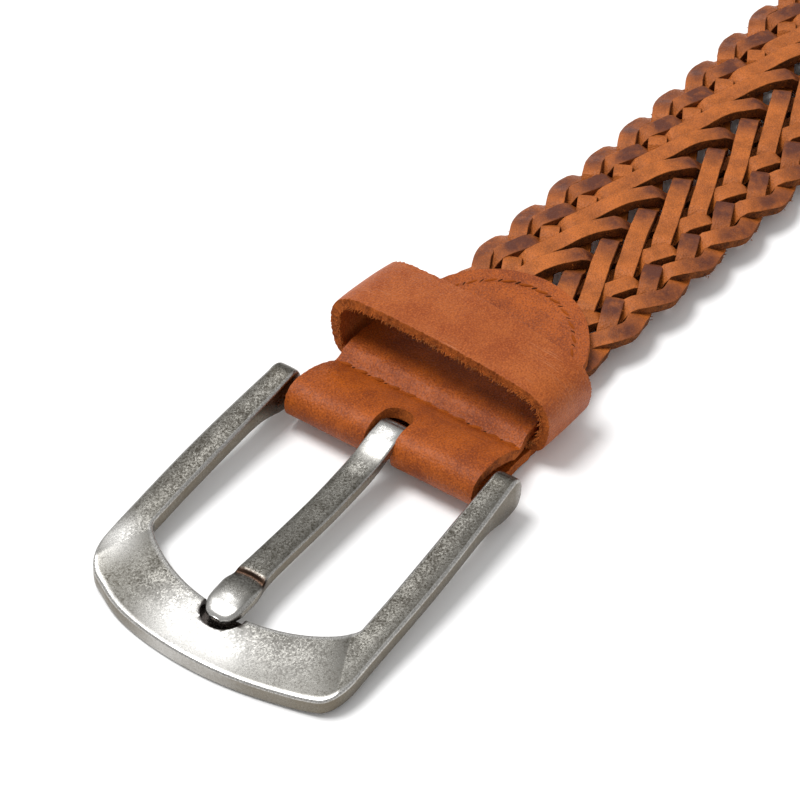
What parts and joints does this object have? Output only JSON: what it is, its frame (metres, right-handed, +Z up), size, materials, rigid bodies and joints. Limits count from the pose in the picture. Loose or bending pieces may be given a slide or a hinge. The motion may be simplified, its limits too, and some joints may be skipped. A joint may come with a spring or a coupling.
{
  "type": "braided belt",
  "caption": "Braided leather belt with a prong buckle on a swinging frame, a folded leather tab, an arched keeper loop, a herringbone braid and a plain rounded tip.",
  "frame": {"origin": "on the flat underside of the leather tab, 22 mm behind the buckle's bar, where the belt rests on the surface", "axes": "+X along the belt from the buckle to the tip, +Y to the belt's left, +Z up from the surface that the belt lies on"},
  "size_m": [1.0964, 0.0524, 0.0175],
  "materials": {
    "nickel_frame": "antique nickel, mottled and worn bright at the edges",
    "nickel_prong": "antique nickel, mottled and worn bright",
    "tab_leather": "reddish cognac, satin",
    "keeper_leather": "reddish cognac, satin",
    "braid_leather": "tan with burnished crests",
    "tip_leather": "reddish cognac, satin"
  },
  "bodies": {
    "strap": {"buckle_tab": "tab_leather", "keeper": "keeper_leather", "braid_band": "braid_leather", "belt_tip": "tip_leather"},
    "frame": {"buckle_frame": "nickel_frame"},
    "prong": {"prong": "nickel_prong"}
  },
  "joints": [
    {"name": "frame_swing", "type": "hinge", "parent": "strap", "child": "frame", "pos_m": [-0.022, 0, 0.0055], "axis": [0, 1, 0], "range_deg": [-40, 30]},
    {"name": "prong_swing", "type": "hinge", "parent": "frame", "child": "prong", "pos_m": [-0.022, 0, 0.0055], "axis": [0, 1, 0], "range_deg": [0, 95]}
  ]
}
